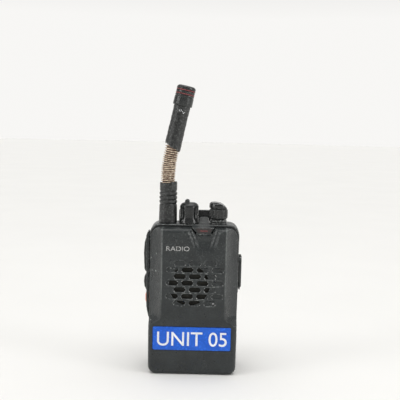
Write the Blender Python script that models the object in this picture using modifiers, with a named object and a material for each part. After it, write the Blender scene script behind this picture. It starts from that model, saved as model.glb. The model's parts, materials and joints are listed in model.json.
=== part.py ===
"""A compact two way radio: cases, controls, a bendable antenna, battery pack and belt clip.

Frame: -Y is the front with the grille, and +Y the back with the battery and the clip. The keys are
at -X and the jacks at +X, and +Z is up. The origin is at the middle of the underside. Named lengths
are in millimetres, and the helpers convert them to metres.
"""

import math

import bmesh
import bpy
from mathutils import Matrix, Vector

MM = 0.001
GAP = 0.3

# Outside of the radio
HALF_WIDTH = 29.0
HALF_WIDTH_LOW = 28.15
WIDTH_Z = 90.0
WIDTH_LOW_Z = 5.0
FRONT_Y = -16.75
SEAM_Y = -5.0
BACK_Y = 16.75
FRONT_TOP_Z = 94.5
REAR_TOP_Z = 95.5
TOP_CORNER = 6.6
BOTTOM_CORNER = 5.0

# Rear case and battery
REAR_FRONT_Y = SEAM_Y + GAP
CHASSIS_BACK_Y = 5.0
BATTERY_Y = CHASSIS_BACK_Y + GAP
BATTERY_TOP_Z = 75.2
SHOULDER_Z = BATTERY_TOP_Z + GAP
REAR_FLOOR_Z = 4.4
REAR_CEILING_Z = 92.5
CAVITY_HALF_X = 26.5
CASE_SCREWS = ((-22.5, 9.0), (22.5, 9.0), (-22.5, 73.0), (22.5, 73.0))
CLIP_SCREWS = ((-5.5, 80.5), (5.5, 80.5))
CONTACT_X = (-5.5, 0.0, 5.5)

# Battery latch
LATCH_HALF_X = 12.0
LATCH_PIVOT_Y = 3.5
LATCH_PIVOT_Z = 1.3
LATCH_TIP_Y = 12.7
LATCH_TOP_Z = 2.0

# Front face
RIDGE_X = 20.6
RIDGE_FOOT_Z = 32.5
RIDGE_TOP_Z = 36.5
LABEL_X = (-25.2, 24.5)
LABEL_Z = (16.2, 31.2)
NOTCH_TOP_X = (-2.9, 13.4)
NOTCH_LOW_X = (1.5, 10.5)
NOTCH_Z = 90.7
SLOT_LENGTH = 7.1
SLOT_HEIGHT = 2.8
SLOT_PITCH = 9.6
SLOT_ROW_Z = 46.7
SLOT_ROW_PITCH = 4.27
SLOT_ROWS = 7
SLOT_MIDDLE_X = 0.9
SPEAKER_X = -2.7
SPEAKER_Z = 57.9
SPEAKER_HOLE_R = 13.0
MIC_X = 12.9
MIC_Z = 45.9

# Controls on the top
CONTROL_Y = 2.0
ANTENNA_X = -17.6
CHANNEL_X = -3.8
VOLUME_X = 15.3
SHAFT_R = 2.4
SHAFT_TOP_Z = 106.0
BORE_R = 2.7
BUSH_R = 3.4
BUSH_TOP_Z = 97.4
NUT_HOLE_R = 3.7
CHANNEL_FOOT_Z = 96.0
CHANNEL_TOP_Z = 108.8
VOLUME_FOOT_Z = 98.4
VOLUME_TOP_Z = 109.8
VOLUME_R = 6.15

# Antenna: a straight boot, a bare bent coil, and a leaning upper part
BOOT_FOOT_Z = 95.8
BOOT_TOP_Z = 121.0
COIL_FOOT = (-17.7, 119.0)
COIL_HEAD = (-15.0, 145.6)
COIL_R = 3.5
COIL_WIRE_R = 0.4
COIL_TURNS = 22
CORE_R = 2.6
LEAN = math.radians(12.3)
SLEEVE_FOOT = (-15.5, 143.2)
SLEEVE_LENGTH = 28.6
SLEEVE_R = 5.05
CAP_LENGTH = 13.0
CAP_R = 6.0

# Left keys, each with its lowest and highest point
KEY_Y = (-2.7, 3.0)
PTT_Z = (64.0, 86.0)
UPPER_KEY_Z = (52.0, 62.5)
LOWER_KEY_Z = (43.4, 50.0)
KEY_FRAME_Z = (33.4, 90.5)

# Right jack cover
COVER_Y = (-3.4, 3.7)
COVER_Z = (53.2, 75.5)
COVER_PIVOT_X = 30.1
COVER_PIVOT_Z = 74.7

# Belt clip
CLIP_HALF_X = 11.0
CLIP_PIVOT_Y = 20.8
CLIP_PIVOT_Z = 87.5
EAR_X = (11.3, 13.1)

ROUND_STEPS = 24


def clear_scene():
    """Empties the scene, so that only the radio is in it."""
    for obj in list(bpy.data.objects):
        bpy.data.objects.remove(obj, do_unlink=True)


def new_collection(name):
    """Makes a collection and links it to the scene."""
    group = bpy.data.collections.new(name)
    bpy.context.scene.collection.children.link(group)
    return group


clear_scene()
PARTS = new_collection("two_way_radio")
CUTTERS = new_collection("cutters")


def new_material(name, colour, roughness, metallic=0.0):
    """A plain Principled material."""
    made = bpy.data.materials.new(name)
    made.use_nodes = True
    shader = made.node_tree.nodes["Principled BSDF"]
    shader.inputs["Base Color"].default_value = (*colour, 1.0)
    shader.inputs["Roughness"].default_value = roughness
    shader.inputs["Metallic"].default_value = metallic
    return made


CASE = new_material("case_plastic", (0.05, 0.052, 0.05), 0.55)
BLACK = new_material("black_plastic", (0.02, 0.02, 0.021), 0.45)
RUBBER = new_material("black_rubber", (0.018, 0.018, 0.018), 0.75)
ORANGE = new_material("orange_rubber", (0.55, 0.09, 0.03), 0.6)
BLUE = new_material("label_blue", (0.045, 0.15, 0.67), 0.4)
RED = new_material("red_plastic", (0.55, 0.03, 0.02), 0.35)
COPPER = new_material("copper_wire", (0.6, 0.33, 0.2), 0.35, 1.0)
FOAM = new_material("brown_core", (0.3, 0.16, 0.11), 0.8)
STEEL = new_material("steel", (0.55, 0.55, 0.56), 0.3, 1.0)
BRASS = new_material("brass", (0.72, 0.52, 0.2), 0.3, 1.0)
BOARD = new_material("circuit_board", (0.02, 0.16, 0.06), 0.5)
CELL = new_material("battery_cell", (0.12, 0.14, 0.2), 0.5)
CLOTH = new_material("grille_cloth", (0.01, 0.01, 0.01), 0.9)
PAPER = new_material("speaker_paper", (0.05, 0.045, 0.04), 0.9)


# ---------------------------------------------------------------- helpers

def taper(x, z):
    """The case narrows a little towards its foot."""
    slope = (HALF_WIDTH - HALF_WIDTH_LOW) / (WIDTH_Z - WIDTH_LOW_Z)
    return x * (1.0 - slope * (WIDTH_Z - z) / HALF_WIDTH)


def taper_mesh(bm):
    """Gives a mesh on the case's side the case's own narrowing."""
    for vert in bm.verts:
        vert.co.x = taper(vert.co.x, vert.co.z)
    return bm


def block(low, high):
    """A box between two corners."""
    bm = bmesh.new()
    bmesh.ops.create_cube(bm, size=1.0)
    low, high = Vector(low), Vector(high)
    bmesh.ops.scale(bm, vec=high - low, verts=bm.verts)
    bmesh.ops.translate(bm, vec=(high + low) / 2, verts=bm.verts)
    return bm


def prism(outline, along, start, end):
    """An outline extruded along an axis; its points give the other two axes in X, Y, Z order."""
    def place(first, second, third):
        if along == "X":
            return Vector((third, first, second))
        if along == "Y":
            return Vector((first, third, second))
        return Vector((first, second, third))

    bm = bmesh.new()
    face = bm.faces.new([bm.verts.new(place(a, b, start)) for a, b in outline])
    grown = bmesh.ops.extrude_face_region(bm, geom=[face])["geom"]
    moved = [item for item in grown if isinstance(item, bmesh.types.BMVert)]
    bmesh.ops.translate(bm, vec=place(0.0, 0.0, end - start), verts=moved)
    return bm


def cylinder(centre, radius, along, start, end, steps=ROUND_STEPS):
    """A round bar along an axis; the centre gives the other two axes in X, Y, Z order."""
    turn = 2 * math.pi / steps
    ring = [(centre[0] + radius * math.cos(i * turn), centre[1] + radius * math.sin(i * turn))
            for i in range(steps)]
    return prism(ring, along, start, end)


def loft(sections):
    """A closed solid through rings with the same number of points."""
    bm = bmesh.new()
    rings = [[bm.verts.new(point) for point in section] for section in sections]
    for near, far in zip(rings, rings[1:]):
        for i in range(len(near)):
            j = (i + 1) % len(near)
            bm.faces.new((near[i], near[j], far[j], far[i]))
    bm.faces.new(rings[0])
    bm.faces.new(rings[-1])
    bmesh.ops.triangulate(bm, faces=bm.faces)
    return bm


def merge(*meshes):
    """Puts bodies that don't touch into one mesh."""
    whole = meshes[0]
    for extra in meshes[1:]:
        copy = bpy.data.meshes.new("copy")
        extra.to_mesh(copy)
        whole.from_mesh(copy)
        bpy.data.meshes.remove(copy)
        extra.free()
    return whole


def add(name, bm, mat, origin=(0.0, 0.0, 0.0), group=PARTS):
    """Makes an object from a mesh in millimetres, with its own origin."""
    origin = Vector(origin)
    bmesh.ops.recalc_face_normals(bm, faces=bm.faces)
    bmesh.ops.translate(bm, vec=-origin, verts=bm.verts)
    bmesh.ops.scale(bm, vec=(MM, MM, MM), verts=bm.verts)
    mesh = bpy.data.meshes.new(name)
    bm.to_mesh(mesh)
    bm.free()
    obj = bpy.data.objects.new(name, mesh)
    obj.location = origin * MM
    if mat:
        mesh.materials.append(mat)
    group.objects.link(obj)
    return obj


def tool(name, bm):
    """A shape that is only used to cut or to extend another."""
    obj = add(name, bm, None, group=CUTTERS)
    obj.hide_render = True
    obj.display_type = "WIRE"
    return obj


def combine(target, shape, operation):
    """Cuts, joins or intersects a part with a tool."""
    step = target.modifiers.new(operation.lower(), "BOOLEAN")
    step.operation = operation
    step.solver = "EXACT"
    step.object = shape


def cut(target, *meshes):
    """Takes shapes away from a part."""
    for number, bm in enumerate(meshes):
        combine(target, tool(f"{target.name}_cut_{number}", bm), "DIFFERENCE")


def join(target, *meshes):
    """Adds overlapping shapes to a part."""
    for number, bm in enumerate(meshes):
        combine(target, tool(f"{target.name}_join_{number}", bm), "UNION")


def soften(obj, width, segments=1):
    """Bevels a part's edges."""
    step = obj.modifiers.new("bevel", "BEVEL")
    step.width = width * MM
    step.segments = segments
    step.limit_method = "ANGLE"
    step.angle_limit = math.radians(30)


def turned(name, profile, mat, origin, steps=ROUND_STEPS):
    """A turned part: (radius, height) points down its outside, measured from its origin."""
    bm = bmesh.new()
    verts = [bm.verts.new((radius * MM, 0.0, height * MM)) for radius, height in profile]
    for near, far in zip(verts, verts[1:]):
        bm.edges.new((near, far))
    if profile[0][0] > 0.0:
        bm.edges.new((verts[-1], verts[0]))
    mesh = bpy.data.meshes.new(name)
    bm.to_mesh(mesh)
    bm.free()
    obj = bpy.data.objects.new(name, mesh)
    obj.location = Vector(origin) * MM
    mesh.materials.append(mat)
    PARTS.objects.link(obj)
    step = obj.modifiers.new("screw", "SCREW")
    step.axis = "Z"
    step.angle = 2 * math.pi
    step.steps = steps
    step.render_steps = steps
    step.use_merge_vertices = True
    step.merge_threshold = 0.00001
    step.use_smooth_shade = True
    return obj


def tube(name, points, radius, mat, sides_level=1):
    """A bent round rod with closed ends through points in millimetres."""
    curve = bpy.data.curves.new(name, "CURVE")
    curve.dimensions = "3D"
    curve.bevel_depth = radius * MM
    curve.bevel_resolution = sides_level
    curve.use_fill_caps = True
    spline = curve.splines.new("POLY")
    spline.points.add(len(points) - 1)
    for item, point in zip(spline.points, points):
        item.co = (*(Vector(point) * MM), 1.0)
    obj = bpy.data.objects.new(name, curve)
    curve.materials.append(mat)
    PARTS.objects.link(obj)
    return obj


def smooth(names):
    """Shades round parts smooth and keeps their sharp edges."""
    for name in names:
        mesh = bpy.data.objects[name].data
        mesh.shade_smooth()
        mesh.set_sharp_from_angle(angle=math.radians(40))


def arc(centre, radius, start, end, steps=5):
    """Points along an arc, with its angles in degrees."""
    points = []
    for i in range(steps + 1):
        angle = math.radians(start + (end - start) * i / steps)
        points.append((centre[0] + radius * math.cos(angle), centre[1] + radius * math.sin(angle)))
    return points


def case_outline(y, inset, low_z, top_z, low_corner, top_corner):
    """The radio's outline from the front, as a ring of points at one depth."""
    edge = HALF_WIDTH - inset
    low = low_z + inset
    top = top_z - inset
    low_r = max(low_corner - inset, 0.3)
    top_r = max(top_corner - inset, 0.3)
    flat = arc((edge - low_r, low + low_r), low_r, -90, 0)
    flat += arc((edge - top_r, top - top_r), top_r, 0, 90)
    flat += [(-x, z) for x, z in reversed(flat)]
    return [Vector((taper(x, z), y, z)) for x, z in flat]


# ---------------------------------------------------------------- cases

def slot_centres():
    """The grille's slots: rows of three and four by turns, closer together than the rows' ends."""
    for row in range(SLOT_ROWS):
        count = 3 if row % 2 == 0 else 4
        height = SLOT_ROW_Z + (SLOT_ROWS - 1 - row) * SLOT_ROW_PITCH
        for number in range(count):
            yield SLOT_MIDDLE_X + (number - (count - 1) / 2) * SLOT_PITCH, height


def slot_outline(x, z):
    """A long eight-sided slot."""
    half = SLOT_LENGTH / 2
    rise = SLOT_HEIGHT / 2
    nip = 0.9
    corners = [(half, rise - nip), (half - nip, rise), (nip - half, rise), (-half, rise - nip)]
    corners += [(-a, -b) for a, b in corners]
    return [(x + a, z + b) for a, b in corners]


def notch_outline(inset, top):
    """The notch for the lamp in the front case's top edge, which widens upward."""
    low, rise = NOTCH_Z + inset, (top - NOTCH_Z - inset) / (REAR_TOP_Z - NOTCH_Z)
    left = NOTCH_LOW_X[0] + (NOTCH_TOP_X[0] - NOTCH_LOW_X[0]) * rise + inset
    right = NOTCH_LOW_X[1] + (NOTCH_TOP_X[1] - NOTCH_LOW_X[1]) * rise - inset
    return [(NOTCH_LOW_X[0] + inset, low), (NOTCH_LOW_X[1] - inset, low), (right, top), (left, top)]


def side_scallop(side):
    """What the slanted side face takes off the front case, down to the ridges' feet."""
    foot = [(25.6, -17.2), (31.0, -17.2), (31.0, -10.4)]
    full = [(20.2, -17.25), (31.2, -17.25), (31.2, -3.45)]
    rings = []
    for outline, z in ((foot, RIDGE_FOOT_Z), (full, RIDGE_TOP_Z), (full, 100.0)):
        rings.append([(side * x, y, z) for x, y in outline])
    return loft(rings)


def make_front_case():
    """The front shell with its grille, label pocket, lamp notch and screw bosses."""
    sections = [(SEAM_Y, 0.0), (-14.6, 0.0), (-16.1, 0.6), (FRONT_Y, 2.0)]
    shell = loft([case_outline(y, inset, 0.0, FRONT_TOP_Z, BOTTOM_CORNER, TOP_CORNER)
                  for y, inset in sections])
    front = add("front_case", shell, CASE)
    inner = [(-27, -4), (-27, -5.5), (-19.6, -14.75), (19.6, -14.75), (27, -5.5), (27, -4)]
    cut(front, side_scallop(1), side_scallop(-1), prism(inner, "Z", 3.2, 90.0))
    bosses = [cylinder((x, z), 1.9, "Y", -9.5, -2.9, 12) for x, z in CASE_SCREWS]
    join(front, merge(*bosses))
    pilots = [cylinder((x, z), 1.2, "Y", -7.3, 0.0, 12) for x, z in CASE_SCREWS]
    slots = [prism(slot_outline(x, z), "Y", -18.0, -15.75) for x, z in slot_centres()]
    cut(front, merge(*pilots), merge(*slots),
        cylinder((SPEAKER_X, SPEAKER_Z), SPEAKER_HOLE_R, "Y", -15.8, -14.0),
        cylinder((MIC_X, MIC_Z), 0.9, "Y", -18.0, -14.0, 12),
        prism(notch_outline(0.0, 96.0), "Y", -18.0, -4.0),
        block((LABEL_X[0] - GAP, -18.0, LABEL_Z[0] - GAP),
              (LABEL_X[1] + GAP, FRONT_Y + GAP, LABEL_Z[1] + GAP)))
    return front


def make_rear_case():
    """The rear shell, which carries the controls, the lamp's tongue and the latch."""
    sections = [(REAR_FRONT_Y, 0.0), (14.2, 0.0), (16.0, 0.8), (BACK_Y, 2.2)]
    body = loft([case_outline(y, inset, 0.0, REAR_TOP_Z, BOTTOM_CORNER, TOP_CORNER)
                 for y, inset in sections])
    rear = add("rear_case", body, CASE)
    cut(rear, block((-40, CHASSIS_BACK_Y, -5), (40, 30, SHOULDER_Z)))
    join(rear, prism(notch_outline(GAP, 94.8), "Y", -14.4, -2.0))
    ridge = [(1.0, 94.0), (14.5, 94.0), (14.5, 98.4), (11.5, 98.7), (3.0, 96.0), (1.0, 95.0)]
    lugs = [block((27.6, y, 72.4), (30.9, y + 0.9, 75.4)) for y in (-4.6, 4.05)]
    jack_plate = block((27.6, -4.3, 51.6), (29.0, 4.6, 73.0))
    join(rear, prism(ridge, "X", 2.8, 9.2), merge(*lugs), jack_plate)
    hollow = [(-5.7, REAR_FLOOR_Z), (3.4, REAR_FLOOR_Z), (3.4, 77.1), (15.1, 77.1),
              (15.1, REAR_CEILING_Z), (-5.7, REAR_CEILING_Z)]
    cut(rear, prism(hollow, "X", -CAVITY_HALF_X, CAVITY_HALF_X))
    holes = [cylinder((x, CONTROL_Y), radius, "Z", 91.0, 97.0, 16)
             for x, radius in ((ANTENNA_X, 4.3), (CHANNEL_X, 3.7), (VOLUME_X, 3.7))]
    screws = [cylinder((x, z), 1.2, "Y", 2.0, 6.0, 12) for x, z in CASE_SCREWS]
    heads = [cylinder((x, z), 2.2, "Y", 4.2, 6.0, 12) for x, z in CASE_SCREWS]
    clip_holes = [cylinder(place, 1.5, "Y", 14.0, 18.0, 12) for place in CLIP_SCREWS]
    pins = [cylinder((LATCH_PIVOT_Y, LATCH_PIVOT_Z), 0.9, "X", -15.3, 15.3, 12)]
    hinge = [cylinder((COVER_PIVOT_X, COVER_PIVOT_Z), 0.7, "Y", -5.0, 5.2, 10)]
    cut(rear, merge(*holes), merge(*screws), merge(*heads), merge(*clip_holes), merge(*pins),
        merge(*hinge),
        block((3.4, -17.0, 91.6), (9.2, -8.7, 94.0)),
        block((-30.5, -3.6, 41.5), (-25.5, 3.9, 88.0)),
        block((25.5, -2.9, 55.5), (30.5, 3.2, 71.0)),
        block((-8.6, 2.0, 10.7), (8.6, 6.0, 17.3)),
        block((-LATCH_HALF_X - GAP, 1.9, -2.0), (LATCH_HALF_X + GAP, 6.0, 2.9)))
    return rear


def make_case_seal():
    """A thin gasket inside the seam between the two shells."""
    ring = add("case_seal", block((-26.2, -6.4, 4.7), (26.2, -4.6, 89.7)), RUBBER)
    cut(ring, block((-25.4, -9.0, 5.5), (25.4, 0.0, 88.9)))
    return ring


def make_case_screws():
    """Four screws from under the battery into the front case's bosses."""
    for number, (x, z) in enumerate(CASE_SCREWS):
        shape = loft([screw_ring(x, z, r, y) for r, y in
                      ((0.85, -6.9), (0.85, 4.5), (1.8, 4.5), (1.8, 4.9))])
        add(f"case_screw_{number + 1}", shape, STEEL)


def screw_ring(x, z, radius, y, steps=10):
    """One ring of points round a screw that points to the front."""
    turn = 2 * math.pi / steps
    return [(x + radius * math.cos(i * turn), y, z + radius * math.sin(i * turn)) for i in range(steps)]


# ---------------------------------------------------------------- front face

def make_label():
    """The stuck-on name label."""
    label = block((LABEL_X[0], FRONT_Y - 0.25, LABEL_Z[0]), (LABEL_X[1], FRONT_Y, LABEL_Z[1]))
    return add("asset_label", label, BLUE)


def make_lamp():
    """The status lamp's window and the part that lights it."""
    add("led_light_guide", block((3.7, -15.1, 91.9), (8.9, -12.0, 93.7)), RED)
    add("led_emitter", block((5.0, -11.7, 91.9), (7.6, -9.2, 93.7)), RED)


def make_speaker():
    """The loudspeaker behind the grille, with its cloth, facing the front."""
    centre = (SPEAKER_X, 0.0, SPEAKER_Z)
    parts = {
        "grille_cloth": ([(0, 14.45), (14.2, 14.45), (14.2, 14.15), (0, 14.15)], CLOTH),
        "speaker_frame": ([(12.6, 13.8), (15.4, 13.8), (15.4, 12.0), (13.0, 10.0), (8.3, 8.6),
                           (6.4, 8.6), (6.4, 9.3), (8.0, 9.3), (11.8, 10.8), (12.6, 12.2)], STEEL),
        "speaker_cone": ([(0, 12.4), (3.8, 11.6), (4.4, 12.4), (11.6, 13.6), (12.2, 13.2),
                          (11.2, 12.8), (4.6, 11.6), (3.8, 11.0), (0, 11.8)], PAPER),
        "speaker_magnet": ([(0, 8.3), (8.0, 8.3), (8.0, 5.6), (0, 5.6)], STEEL),
    }
    for name, (profile, mat) in parts.items():
        obj = turned(name, profile, mat, centre)
        obj.rotation_euler = (math.radians(90), 0, 0)


def make_microphone():
    """The microphone capsule in its rubber boot, behind its small hole."""
    profiles = {
        "microphone_capsule": ([(0, 14.0), (2.2, 14.0), (2.2, 11.6), (0, 11.6)], STEEL),
        "microphone_boot": ([(2.5, 14.3), (3.4, 14.3), (3.4, 11.2), (2.5, 11.2)], RUBBER),
    }
    for name, (profile, mat) in profiles.items():
        obj = turned(name, profile, mat, (MIC_X, 0.0, MIC_Z), 16)
        obj.rotation_euler = (math.radians(90), 0, 0)


def make_boards():
    """The main circuit board and the metal can over its radio circuits."""
    add("main_board", block((-20.2, -3.6, 6.0), (20.2, -2.6, 80.0)), BOARD)
    shield = add("rf_shield", block((-16.0, -2.3, 30.0), (16.0, 1.6, 72.0)), STEEL)
    cut(shield, block((-15.6, -3.0, 30.4), (15.6, 1.2, 71.6)))
    contact_block = add("radio_contact_block", block((-8.3, -2.3, 11.0), (8.3, 4.6, 17.0)), BLACK)
    blades = [block((x - 1.0, 1.3, 12.1), (x + 1.0, 4.9, 15.9)) for x in CONTACT_X]
    join(contact_block, merge(*blades))


# ---------------------------------------------------------------- top controls

def make_control(name, x, body, nut, profile):
    """A rotary control: its body and bush, its nut, its shaft, and the knob on it."""
    centre = (x, CONTROL_Y, 0.0)
    bush = cylinder((x, CONTROL_Y), BUSH_R, "Z", 91.0, BUSH_TOP_Z, 16)
    housing = add(f"{name}_body", body, STEEL)
    join(housing, bush)
    cut(housing, cylinder((x, CONTROL_Y), BORE_R, "Z", 84.0, 99.0, 16))
    turned(f"{name}_shaft", [(0, SHAFT_TOP_Z), (SHAFT_R, SHAFT_TOP_Z), (SHAFT_R, 84.6), (0, 84.6)],
           STEEL, centre, 16)
    ring = add(f"{name}_nut", nut, BLACK)
    cut(ring, cylinder((x, CONTROL_Y), NUT_HOLE_R, "Z", 90.0, 99.0, 16))
    bore = [(BORE_R, SHAFT_TOP_Z + GAP), (0, SHAFT_TOP_Z + GAP)]
    return turned(f"{name}_knob", profile + bore, BLACK, centre)


def make_controls():
    """The channel switch with its pointer, and the volume control with its slanted top."""
    top = CHANNEL_TOP_Z
    channel = [(0, top), (4.2, top), (5.2, top - 0.8), (5.9, top - 2.4), (6.0, 101.8), (5.8, 100.6),
               (6.5, 97.6), (6.6, CHANNEL_FOOT_Z), (5.5, CHANNEL_FOOT_Z), (5.5, 98.2), (BORE_R, 98.2)]
    knob = make_control("channel", CHANNEL_X,
                        block((CHANNEL_X - 5.5, -3.4, 82.0), (CHANNEL_X + 5.5, 7.5, 92.2)),
                        cylinder((CHANNEL_X, CONTROL_Y), 5.1, "Z", REAR_TOP_Z + GAP, 97.3, 6), channel)
    pointer = prism([(-3.0, 108.0), (6.4, 108.0), (6.4, 110.2), (4.0, 111.7), (-0.6, 111.7),
                     (-3.0, 110.2)], "X", CHANNEL_X - 3.0, CHANNEL_X + 0.4)
    join(knob, pointer)
    top, edge = VOLUME_TOP_Z, VOLUME_R
    volume = [(0, top), (edge - 0.9, top), (edge, top - 0.9), (edge, 105.9), (edge - 0.4, 105.5),
              (edge - 0.4, 105.1), (edge, 104.7), (edge, 101.0), (5.2, VOLUME_FOOT_Z),
              (BORE_R, VOLUME_FOOT_Z)]
    knob = make_control("volume", VOLUME_X, cylinder((VOLUME_X, CONTROL_Y), 6.2, "Z", 83.5, 92.2, 16),
                        cylinder((VOLUME_X, CONTROL_Y), 4.8, "Z", REAR_TOP_Z + GAP, 98.0, 16), volume)
    slant = [(VOLUME_X - 2.6, top + 0.1), (VOLUME_X + 1.2, top - 0.9), (VOLUME_X + 4.4, top - 2.8),
             (VOLUME_X + 5.9, top - 4.6), (VOLUME_X + 7.5, top - 5.0), (VOLUME_X + 7.5, top + 1.0),
             (VOLUME_X - 2.6, top + 1.0)]
    cut(knob, prism(slant, "Y", CONTROL_Y - 8.0, CONTROL_Y + 8.0))


# ---------------------------------------------------------------- antenna

def coil_axis(share):
    """The bare coil's bent middle line, from the boot's mouth to the sleeve's."""
    reach = 11.0
    foot, head = Vector((COIL_FOOT[0], 0, COIL_FOOT[1])), Vector((COIL_HEAD[0], 0, COIL_HEAD[1]))
    controls = [foot, foot + Vector((-0.04, 0, 1)) * reach,
                head - Vector((math.sin(LEAN), 0, math.cos(LEAN))) * reach, head]
    weights = [(1 - share) ** 3, 3 * share * (1 - share) ** 2, 3 * share ** 2 * (1 - share), share ** 3]
    slopes = [-3 * (1 - share) ** 2, 3 * (1 - share) * (1 - 3 * share), 3 * share * (2 - 3 * share),
              3 * share ** 2]
    point = sum((w * c for w, c in zip(weights, controls)), Vector())
    along = sum((w * c for w, c in zip(slopes, controls)), Vector()).normalized()
    return point + Vector((0, CONTROL_Y, 0)), along


def coil_points(per_turn=8):
    """The coil's wire, wound round its middle line."""
    count = COIL_TURNS * per_turn
    points = []
    for i in range(count + 1):
        middle, along = coil_axis(i / count)
        across = Vector((along.z, 0, -along.x))
        turn = 2 * math.pi * i / per_turn
        points.append(middle + (across * math.cos(turn) + Vector((0, 1, 0)) * math.sin(turn)) * COIL_R)
    return points


def make_antenna():
    """The antenna, from its threaded socket in the case to its ringed cap."""
    foot = (ANTENNA_X, CONTROL_Y, 0.0)
    turned("antenna_connector", [(2.4, 95.2), (4.0, 95.2), (4.0, 92.2), (5.6, 92.2), (5.6, 90.4),
                                 (2.4, 90.4)], BRASS, foot, 16)
    turned("antenna_stud", [(0, 104.7), (2.1, 104.7), (2.1, 91.4), (0, 91.4)], BRASS, foot, 16)
    turned("antenna_seal_ring", [(3.4, 97.0), (4.9, 97.0), (4.9, 95.8), (3.4, 95.8)], RUBBER, foot)
    boot = [(0, 112.0), (4.3, 112.0), (4.3, BOOT_TOP_Z), (5.35, BOOT_TOP_Z)]
    for z in (117.8, 115.2, 112.7):
        boot += [(5.35, z + 0.8), (5.75, z + 0.4), (5.75, z - 0.4), (5.35, z - 0.8)]
    boot += [(5.9, 97.5), (5.9, BOOT_FOOT_Z), (5.2, BOOT_FOOT_Z), (5.2, 97.3), (2.4, 97.3),
             (2.4, 105.0), (0, 105.0)]
    turned("antenna_boot", boot, RUBBER, foot)
    tube("antenna_coil", coil_points(), COIL_WIRE_R, COPPER)
    tube("antenna_core", [coil_axis(i / 8)[0] for i in range(9)], CORE_R, FOAM, 2)
    upper = (SLEEVE_FOOT[0], CONTROL_Y, SLEEVE_FOOT[1])
    sleeve = [(0, SLEEVE_LENGTH), (4.8, SLEEVE_LENGTH), (SLEEVE_R, SLEEVE_LENGTH - 1), (SLEEVE_R, 0),
              (4.3, 0), (4.3, 4.2), (0, 4.2)]
    cap_foot = SLEEVE_LENGTH + GAP
    cap_top = cap_foot + CAP_LENGTH
    cap = [(0, cap_top), (4.6, cap_top), (5.6, cap_top - 0.7), (5.9, cap_top - 1.8)]
    rings = [cap_top - 3.0, cap_top - 5.5]
    for height in rings:
        cap += [(5.9, height + 0.8), (5.1, height + 0.8), (5.1, height - 0.8), (5.9, height - 0.8)]
    cap += [(CAP_R, cap_top - 6.8), (CAP_R, cap_foot + 0.5), (5.5, cap_foot), (0, cap_foot)]
    leaning = [turned("antenna_sleeve", sleeve, RUBBER, upper),
               turned("antenna_cap", cap, BLACK, upper)]
    for number, height in enumerate(rings):
        band = [(5.4, height + 0.5), (6.0, height + 0.5), (6.0, height - 0.5), (5.4, height - 0.5)]
        leaning.append(turned(f"antenna_band_{number + 1}", band, RED, upper))
    for obj in leaning:
        obj.rotation_euler = (0, LEAN, 0)


# ---------------------------------------------------------------- side keys and jack cover

def make_side_keys():
    """The left side's key frame, its three keys and the switches behind them."""
    low, high = KEY_FRAME_Z
    ramp = [(-29.3, low), (-30.0, low + 2.5), (-31.0, 41.0), (-31.2, 87.5), (-30.4, high - 0.6),
            (-29.3, high)]
    frame = add("side_key_frame", taper_mesh(prism(ramp, "Y", -4.5, 4.8)), CASE)
    windows = [block((-35, KEY_Y[0] - GAP, z[0] - GAP), (-25, KEY_Y[1] + GAP, z[1] + GAP))
               for z in (PTT_Z, UPPER_KEY_Z, LOWER_KEY_Z)]
    cut(frame, merge(*windows))
    faces = {
        "ptt_button": (PTT_Z, [(-31.6, 64.0), (-32.4, 65.6), (-32.8, 76.0), (-32.3, 83.0), (-31.4, 86.0)],
                       BLACK),
        "side_key_upper": (UPPER_KEY_Z, [(-31.3, 52.0), (-32.3, 54.0), (-32.7, 57.5), (-32.3, 60.8),
                                         (-31.3, 62.5)], BLACK),
        "side_key_lower": (LOWER_KEY_Z, [(-31.2, 43.4), (-31.7, 44.6), (-31.7, 48.6), (-31.2, 50.0)],
                           ORANGE),
    }
    for name, (span, crown, mat) in faces.items():
        outline = crown + [(-28.3, span[1]), (-28.3, span[0])]
        key = add(name, taper_mesh(prism(outline, "Y", *KEY_Y)), mat)
        flange = block((-28.9, KEY_Y[0] - 0.6, span[0] - 0.6), (-28.0, KEY_Y[1] + 0.6, span[1] + 0.6))
        join(key, taper_mesh(flange))
    board = add("side_key_board", block((-25.6, -3.2, 44.0), (-24.8, 3.4, 84.0)), BOARD)
    domes = [block((-26.2, -1.4, z - 1.5), (-25.2, 1.6, z + 1.5)) for z in (46.7, 57.3, 75.0)]
    join(board, merge(*domes))


def make_jack_cover():
    """The cover over the accessory jacks, on its hinge pin, and the jacks behind it."""
    low = COVER_Z[0]
    outline = arc((COVER_PIVOT_X, COVER_PIVOT_Z), 0.8, 0, 180, 6)
    outline += [(29.3, low + 0.2), (30.2, low), (30.2, low + 1.6), (30.9, low + 2.2)]
    cover = add("jack_cover", prism(outline, "Y", *COVER_Y), RUBBER,
                (COVER_PIVOT_X, 0.0, COVER_PIVOT_Z))
    cut(cover, cylinder((COVER_PIVOT_X, COVER_PIVOT_Z), 0.55, "Y", -6, 6, 10))
    pin = cylinder((COVER_PIVOT_X, COVER_PIVOT_Z), 0.3, "Y", -4.5, 4.8, 8)
    add("jack_cover_pin", pin, STEEL)
    sockets = add("jack_socket_block", block((23.0, -2.6, 55.8), (28.2, 2.9, 70.7)), BLACK)
    cut(sockets, cylinder((0.15, 67.0), 1.75, "X", 24.5, 30.0, 12),
        cylinder((0.15, 59.6), 1.25, "X", 24.5, 30.0, 12))


# ---------------------------------------------------------------- belt clip

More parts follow.
